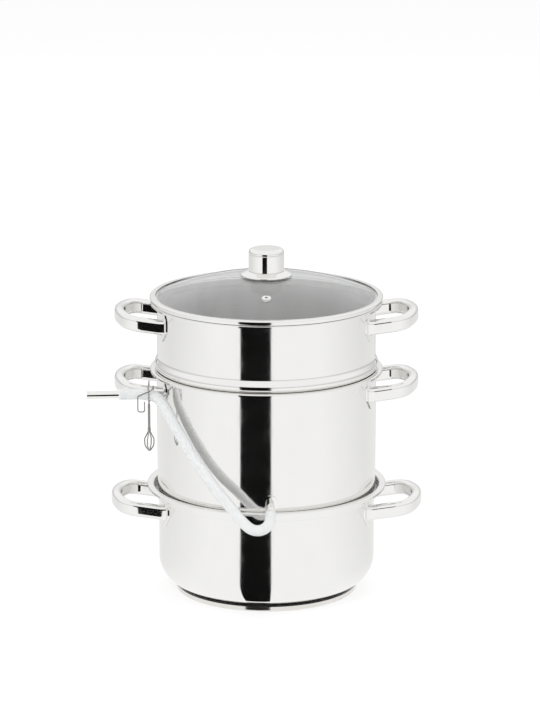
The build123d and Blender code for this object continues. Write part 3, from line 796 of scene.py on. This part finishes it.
class JUICER_OT_glass_lid(bpy.types.Operator):
    """Make the lid's glass and rim band and dress its vent"""

    bl_idname = "juicer.glass_lid"
    bl_label = "Glass lid"

    def execute(self, context):
        sizes, sheet = context.scene.juicer_lid, context.scene.juicer_sheet
        glass = SheetOfRevolution(dome_way(), sizes.glass)
        vent = glass.mark_where(0, sizes.vent_offset)
        reach = sizes.vent_hole * vent_band_reach
        cell = (vent_bearing - vent_half_cell, vent_bearing + vent_half_cell, vent_bearing)
        glass.build([(vent - reach, vent + reach, [cell], sizes.vent_hole)])
        glass.piece("lid_glass_dome", "lid", "lid_glass", [clear_glass()], slot="lid_glass")
        skirt_radius = basket_high.x - sheet.lip_reach - sheet.sheet - 2 * sizes.band_sheet
        band_radius = band_high.x - sizes.band_sheet
        under = band_low.z + sizes.skirt_depth + sizes.band_sheet
        corners = [
            (band_radius - sizes.band_lip, band_high.z - sizes.band_sheet),
            (band_radius, band_high.z - sizes.band_sheet),
            (band_radius, under),
            (skirt_radius, under),
            (skirt_radius, band_low.z),
        ]
        band = bent_sheet(corners, [sizes.band_bend, sizes.band_bend, sheet.fold_bend], sizes.band_sheet)
        band.piece("lid_rim_band_rolled", "lid", "lid_rim_band", [polished_steel()])
        dress_node("vent_eyelet", polished_steel())
        return {"FINISHED"}


def dome_way():
    """Way along the underside of the glass: the dome, the bend at its edge and the flat rim."""
    sizes = bpy.context.scene.juicer_lid
    slope = sizes.dome_slope
    flat_start = glass_high.x - sizes.rim_flat
    bend_height = glass_low.z + sizes.edge_bend
    dome_radius = (flat_start - sizes.edge_bend * math.sin(slope)) / math.sin(slope)
    dome_height = bend_height - sizes.edge_bend * math.cos(slope) - dome_radius * math.cos(slope)
    bend_centre, dome_centre = Vector((flat_start, bend_height)), Vector((0, dome_height))
    way = []
    start = math.asin(sizes.screw_hole / dome_radius)
    for step in range(dome_steps + 1):
        angle = start + (slope - start) * step / dome_steps
        away = Vector((math.sin(angle), math.cos(angle)))
        way.append((away * dome_radius + dome_centre, Vector((away.y, -away.x))))
    for step in range(1, dome_edge_steps + 1):
        angle = slope * (1 - step / dome_edge_steps)
        away = Vector((math.sin(angle), math.cos(angle))) * sizes.edge_bend
        way.append((bend_centre - away, Vector((math.cos(angle), -math.sin(angle)))))
    way.append((Vector((glass_high.x - support_margin, glass_low.z)), Vector((1, 0))))
    return way


class JUICER_OT_lid_knob(bpy.types.Operator):
    """Make the knob's shell and flared base and dress what fastens them"""

    bl_idname = "juicer.lid_knob"
    bl_label = "Lid knob"

    def execute(self, context):
        sizes = context.scene.juicer_lid
        groove = knob_high.z - sizes.knob_ring_drop
        depth = sizes.knob_ring_depth
        corners = [
            (knob_high.x, knob_low.z),
            (knob_high.x, groove - depth),
            (knob_high.x - depth, groove),
            (knob_high.x, groove + depth),
            (knob_high.x, knob_high.z),
            (0, knob_high.z),
        ]
        knob = bent_sheet(corners, [0, 0, 0, sizes.knob_top_bend], sizes.knob_sheet, knob_segments)
        steel = polished_steel("knob_steel", knob_wave)
        knob.piece("lid_knob_turned", "lid", "lid_knob", [steel], shaded=False)
        corners = [
            (base_high.x, base_low.z),
            (base_high.x, base_low.z + sizes.base_rim),
            (knob_high.x + sizes.base_shelf, base_high.z),
            (sizes.screw_hole, base_high.z),
        ]
        flare = bent_sheet(corners, [sizes.base_sheet] * 2, sizes.base_sheet, knob_segments)
        flare.piece("knob_base_flared", "lid", "knob_base", [polished_steel()])
        dress_node("knob_insert", dark_plastic())
        dress_node("knob_seal", clear_seal())
        dress_node("knob_washer", polished_steel(), screw_edge)
        dress_node("knob_screw", polished_steel(), screw_edge)
        return {"FINISHED"}


class JUICER_OT_handles(bpy.types.Operator):
    """Make the six looped handles and dress their weld plates"""

    bl_idname = "juicer.handles"
    bl_label = "Handles"

    def execute(self, context):
        for vessel in ("pot", "kettle", "basket"):
            for side, turn in (("left", -1), ("right", 1)):
                make_handle(vessel, side, turn)
                dress_node(f"{vessel}_handle_{side}_plates", polished_steel(), plate_edge)
        return {"FINISHED"}


def handle_section():
    """Outline of the flattened tube as (outwards, upwards) points."""
    sizes = bpy.context.scene.juicer_handle
    out, up = sizes.width / 2, sizes.depth / 2
    corners = [(0, -up), (out, -up), (out, up), (-out, up), (-out, -up), (0, -up)]
    way = rounded_way(corners, [sizes.rounding] * 4)
    return [point for point, _ in way[:-1]]


def handle_way(root, tip):
    """Line of a handle in plan, from one leg round the bowed end to the other."""
    sizes = bpy.context.scene.juicer_handle
    leg = sizes.leg_spacing / 2
    bow = sizes.leg_spacing * sizes.bow_share
    peak = tip + bow * (1 / math.cos(sizes.bow_lean) - 1)
    shoulder = peak - leg * math.tan(sizes.bow_lean)
    corners = [(root, -leg), (shoulder, -leg), (peak, 0), (shoulder, leg), (root, leg)]
    return rounded_way(corners, [sizes.corner, bow, sizes.corner])


def make_handle(vessel, side, turn):
    """One handle, drawn for the right-hand side and turned half round for the left."""
    sizes = bpy.context.scene.juicer_handle
    node = f"{vessel}_handle_{side}"
    low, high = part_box(node)
    plate_low, plate_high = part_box(f"{node}_plates")
    leg = sizes.leg_spacing / 2
    half_plate = plate_high.y - leg
    plate_radius = math.hypot(max(abs(plate_low.x), abs(plate_high.x)), leg - half_plate)
    plate_face = math.sqrt(plate_radius ** 2 - leg ** 2)
    lean_out = (sizes.depth / 2 - sizes.rounding) * math.sin(sizes.slope)
    tip = max(abs(low.x), abs(high.x)) - lean_out - sizes.width / 2
    tip_height = high.z - sizes.depth / 2
    section = handle_section()
    rings = []
    for point, direction in handle_way(plate_face + sizes.flare_length, tip):
        outwards = Vector((direction.y, -direction.x, 0))
        height = tip_height - (tip - point.x) * math.tan(sizes.slope)
        centre = Vector((point.x, point.y, height))
        rings.append([centre + outwards * across + Vector((0, 0, above)) for across, above in section])
    first, last = [weld_flare(ring, plate_radius) for ring in (rings[0], rings[-1])]
    rings = first + rings + last[::-1]
    turned = [[Vector((point.x * turn, point.y * turn, point.z)) for point in ring] for ring in rings]
    steel = polished_steel("handle_steel", handle_wave)
    finish_mesh((f"{node}_loop", vessel, node), *skin(turned, closed=False), [steel])


def weld_flare(ring, plate_radius):
    """Rings from the plate's curved face to the start of a leg, wider towards the plate."""
    sizes = bpy.context.scene.juicer_handle
    middle = sum(ring, Vector()) / len(ring)
    flare = []
    for step in range(flare_steps):
        part = step / flare_steps
        wider = 1 + sizes.flare * (1 - part) ** 2
        drop = (1 - part) * sizes.flare_length * math.tan(sizes.slope)
        widened = []
        for point in ring:
            place = middle + (point - middle) * wider
            face = math.sqrt(plate_radius ** 2 - place.y ** 2)
            widened.append(Vector((face + (point.x - face) * part, place.y, place.z - drop)))
        flare.append(widened)
    return flare


# Hose: places that it follows from the spout to its end tube, with heights above the kettle's base
hose_places = [
    (0.0053, -0.1518, 0.0293),
    (0.00555, -0.1588, 0.0215),
    (0.0005, -0.1655, 0.0142),
    (-0.0085, -0.1693, 0.0113),
    (-0.0188, -0.169, 0.0132),
    (-0.0305, -0.162, 0.023),
    (-0.046, -0.149, 0.0395),
    (-0.069, -0.128, 0.063),
    (-0.094, -0.107, 0.097),
    (-0.1125, -0.087, 0.125),
    (-0.121, -0.0745, 0.139),
    (-0.1305, -0.068, 0.148),
    (-0.144, -0.0662, 0.1506),
    (-0.1595, -0.066, 0.1502),
    (-0.175, -0.0662, 0.1499),
]


class JUICER_OT_juice_hose(bpy.types.Operator):
    """Make the juice hose along its route and dress its end tube and clamp"""

    bl_idname = "juicer.juice_hose"
    bl_label = "Juice hose"

    def execute(self, context):
        sizes = context.scene.juicer_hose
        points = hose_line()
        outer, inner = circle_rings(points, [sizes.radius, sizes.radius - sizes.wall])
        tube = skin(outer + inner[::-1], closed=True)
        names = ("juice_hose_tube", "kettle", "juice_hose")
        piece = finish_mesh(names, *tube, [milky_silicone()], slot="silicone")
        end_tube = dress_node("hose_end_tube", polished_steel())
        clamp = dress_node("hose_clamp", bright_wire())
        return {"FINISHED"}


def hose_line():
    """Points along a smooth curve that the hose's places pull towards them."""
    curve = bpy.data.curves.new("hose_route", "CURVE")
    curve.dimensions = "3D"
    curve.resolution_u = 12
    spline = curve.splines.new("NURBS")
    spline.points.add(len(hose_places) - 1)
    for point, (x, y, height) in zip(spline.points, hose_places):
        point.co = (x, y, kettle_low.z + height, 1)
    spline.order_u = 3
    spline.use_endpoint_u = True
    line = bpy.data.objects.new("hose_route", curve)
    bpy.context.scene.collection.objects.link(line)
    bpy.context.view_layer.update()
    drawn = bpy.data.meshes.new_from_object(line)
    points = [vertex.co.copy() for vertex in drawn.vertices]
    bpy.data.objects.remove(line)
    bpy.data.meshes.remove(drawn)
    bpy.data.curves.remove(curve)
    return points


def circle_rings(points, radii):
    """For each radius, rings of points round a line, turned as little as possible from one to the next."""
    spread = [points[0], *points, points[-1]]
    directions = [(after - before).normalized() for before, after in zip(spread, spread[2:])]
    side = directions[0].orthogonal().normalized()
    angles = [2 * math.pi * step / hose_sides for step in range(hose_sides)]
    all_rings = [[] for _ in radii]
    for point, direction in zip(points, directions):
        side = (side - direction * side.dot(direction)).normalized()
        other = direction.cross(side)
        for rings, radius in zip(all_rings, radii):
            rings.append([
                point + (side * math.cos(angle) + other * math.sin(angle)) * radius for angle in angles
            ])
    return all_rings


# Stage
camera_reach = 100
floor_reach, floor_drop = 20, 0.0002
card_reach, card_drop = 9, 0.0001
floor_glow, floor_glow_share = 1.15, 0.6
lamp_aim = Vector((0, 0, 0.3))
# Name, place, diameter in metres and power in watts
lamps = (
    ("key_lamp", (-1.6, -2.2, 2.6), 2.0, 30),
    ("fill_lamp", (2.4, -1.6, 1.8), 2.2, 12),
    ("back_lamp", (0.4, 2.2, 2.4), 2.0, 14),
)
# The dark wedge: bearings of its sides in degrees, distance at which it starts, length and far panel's height
wedge_bearings = (-13.5, 2.4)
wedge_start, wedge_length, panel_height = 0.113, 9, 2.5
# Shades of the tone card at its sides, each from one value to another between two distances
side_shades = ((0.14, 0.3, 1.0, 3.0), (0.0, 0.62, 3.7, 4.3), (0.0, -0.5, 5.0, 6.0))
# Bearings, in degrees from the front, over which the sides' shade and the strip behind set in
side_bearings, back_bearings = (55, 115), (150, 168)
back_shade, card_white = 0.5, 1.02
# Light of the world on the set, and in mirrors: its strength at the horizon and from what height it is white
world_light = 0.85
horizon_light, horizon_height = 0.66, 0.4


class JuicerStage(bpy.types.PropertyGroup):
    """Camera, and the colour of the floor and background."""

    camera_height: length("Camera height", "Height of the camera above the floor", 1.359)
    camera_distance: length("Camera distance", "Distance of the camera in front of the set", 4.318)
    camera_side: length("Camera side", "Distance of the camera to the right of the set", 0.0043)
    camera_pitch: slant("Camera pitch", "How far the camera looks down", math.radians(14))
    lens: bpy.props.FloatProperty(name="Lens", description="Focal length in millimetres", default=185, min=1)
    white: colour("White", "Colour of the floor and background", (1.0, 1.0, 1.0))


class JUICER_OT_stage(bpy.types.Operator):
    """Make the camera, the floor, the lamps and the cards that the steel reflects"""

    bl_idname = "juicer.stage"
    bl_label = "Stage"

    def execute(self, context):
        look = context.scene.juicer_stage
        camera_data = bpy.data.cameras.new("camera")
        camera_data.lens = look.lens
        camera_data.clip_end = camera_reach
        camera = bpy.data.objects.new("camera", camera_data)
        camera.location = (look.camera_side, -look.camera_distance, look.camera_height)
        camera.rotation_euler = (math.pi / 2 - look.camera_pitch, 0, 0)
        context.scene.collection.objects.link(camera)
        context.scene.camera = camera
        context.scene.view_settings.view_transform = "Standard"
        flat_sheet("floor", square(floor_reach), floor_white(), floor_drop)
        only_in_reflections(flat_sheet("tone_card", square(card_reach), card_tones(), card_drop))
        black = card_black()
        for name, corners in (("dark_card", card_corners()), ("dark_panel", panel_corners())):
            only_in_reflections(flat_sheet(name, corners, black))
        light_world(context.scene)
        for lamp in lamps:
            soft_lamp(*lamp)
        return {"FINISHED"}


def square(reach):
    return [(-reach, -reach, 0), (reach, -reach, 0), (reach, reach, 0), (-reach, reach, 0)]


def flat_sheet(name, corners, material, drop=0):
    mesh = bpy.data.meshes.new(name)
    mesh.from_pydata(corners, [], [tuple(range(len(corners)))])
    mesh.materials.append(material)
    sheet = bpy.data.objects.new(name, mesh)
    sheet.location.z = -drop
    bpy.context.scene.collection.objects.link(sheet)
    return sheet


def only_in_reflections(sheet):
    sheet.visible_camera = False
    sheet.visible_diffuse = False
    sheet.visible_transmission = False
    sheet.visible_shadow = False


def card_corners():
    """Wedge on the floor between two lines that start where the pot's foot first reflects them."""
    corners = []
    for degrees in wedge_bearings:
        angle = math.radians(degrees)
        start = Vector((math.sin(angle), -math.cos(angle), 0)) * wedge_start
        away = Vector((math.sin(2 * angle), -math.cos(2 * angle), 0)) * wedge_length
        ends = [start + away, start]
        corners += ends if degrees < 0 else ends[::-1]
    return corners


def panel_corners():
    """Upright panel that closes the far end of the wedge."""
    far = [corner for corner in card_corners() if corner.length > 1]
    return far + [corner + Vector((0, 0, panel_height)) for corner in reversed(far)]


def card_tones():
    """Soft surroundings: white in front, greyer to the sides and far away, with a grey strip behind."""
    finish = Finish("card_tones")
    east, north, _ = finish.node("SeparateXYZ", {0: finish.place()}).outputs
    ahead = finish.calc("MULTIPLY", north, -1.0)
    away = finish.calc("ABSOLUTE", finish.calc("ARCTAN2", east, ahead))
    distance = finish.vector_calc("LENGTH", finish.place())
    near, far, beyond = [finish.between(distance, *shade) for shade in side_shades]
    shade = finish.calc("ADD", finish.calc("ADD", near, far), beyond)
    aside = finish.between(away, 0.0, 1.0, *map(math.radians, side_bearings))
    behind = finish.between(away, 0.0, back_shade, *map(math.radians, back_bearings))
    dark = finish.calc("MAXIMUM", finish.calc("MULTIPLY", aside, shade), behind)
    return finish.surface(finish.glow((1, 1, 1), finish.calc("SUBTRACT", card_white, dark)))


def card_black():
    finish = Finish("card_black")
    return finish.surface(finish.glow((0.004, 0.004, 0.004), 1.0))


def floor_white():
    """White floor that keeps the object's shadow."""
    finish = Finish("floor_white")
    tone = finish.mixed(finish.noise(60.0), (0.86, 0.86, 0.86), (0.88, 0.88, 0.88))
    finish.set(base_color=tone, roughness=0.9)
    glow = finish.glow(bpy.context.scene.juicer_stage.white, floor_glow)
    part = finish.calc("MULTIPLY", finish.seen_directly(), floor_glow_share)
    lit = finish.nodes["Principled BSDF"].outputs[0]
    return finish.surface(finish.node("MixShader", {0: part, 1: lit, 2: glow}).outputs[0])


def light_world(scene):
    """Even light; the background is white where it is seen straight, and mirrors also show a grey horizon."""
    sky = Finish("studio", "worlds")
    scene.world = sky.made
    up = sky.node("SeparateXYZ", {0: sky.node("TexCoord").outputs["Generated"]}).outputs["Z"]
    horizon = sky.between(up, horizon_light, 1.0, 0.0, horizon_height, interpolation_type="SMOOTHSTEP")
    mirrored = sky.either(sky.node("LightPath").outputs["Is Glossy Ray"], 1.0, horizon)
    strength = sky.either(sky.seen_directly(), world_light, mirrored)
    background = sky.nodes["Background"]
    sky.join(strength, background.inputs["Strength"])
    sky.join((1, 1, 1, 1), background.inputs["Color"])


def soft_lamp(name, place, size, power):
    data = bpy.data.lights.new(name, "AREA")
    data.shape = "DISK"
    data.size = size
    data.energy = power
    lamp = bpy.data.objects.new(name, data)
    lamp.location = place
    lamp.rotation_euler = (lamp_aim - Vector(place)).to_track_quat("-Z", "Y").to_euler()
    lamp.visible_glossy = False
    lamp.visible_transmission = False
    bpy.context.scene.collection.objects.link(lamp)


class JUICER_PT_pieces(bpy.types.Panel):
    """Lists the pieces of the set"""

    bl_idname = "JUICER_PT_pieces"
    bl_label = "Juicer"
    bl_space_type = "VIEW_3D"
    bl_region_type = "UI"
    bl_category = "Juicer"

    def draw(self, context):
        for operator in operators:
            self.layout.operator(operator.bl_idname)


operators = [
    JUICER_OT_stage,
    JUICER_OT_juice_hose,
    JUICER_OT_water_pot,
    JUICER_OT_juice_kettle,
    JUICER_OT_fruit_basket,
    JUICER_OT_glass_lid,
    JUICER_OT_lid_knob,
    JUICER_OT_handles,
]
property_groups = {
    "juicer_sheet": JuicerSheetSizes,
    "juicer_pot": JuicerPotSizes,
    "juicer_kettle": JuicerKettleSizes,
    "juicer_basket": JuicerBasketSizes,
    "juicer_lid": JuicerLidSizes,
    "juicer_handle": JuicerHandleSizes,
    "juicer_hose": JuicerHoseSizes,
    "juicer_finish": JuicerFinish,
    "juicer_stage": JuicerStage,
}


classes = [*property_groups.values(), *operators, JUICER_PT_pieces]


def register():
    for made in classes:
        bpy.utils.register_class(made)
    for name, group in property_groups.items():
        setattr(bpy.types.Scene, name, bpy.props.PointerProperty(type=group))


def unregister():
    for name in property_groups:
        delattr(bpy.types.Scene, name)
    for made in reversed(classes):
        bpy.utils.unregister_class(made)


def main():
    register()
    for operator in operators:
        group, action = operator.bl_idname.split(".")
        getattr(getattr(bpy.ops, group), action)()


if __name__ == "__main__":
    main()
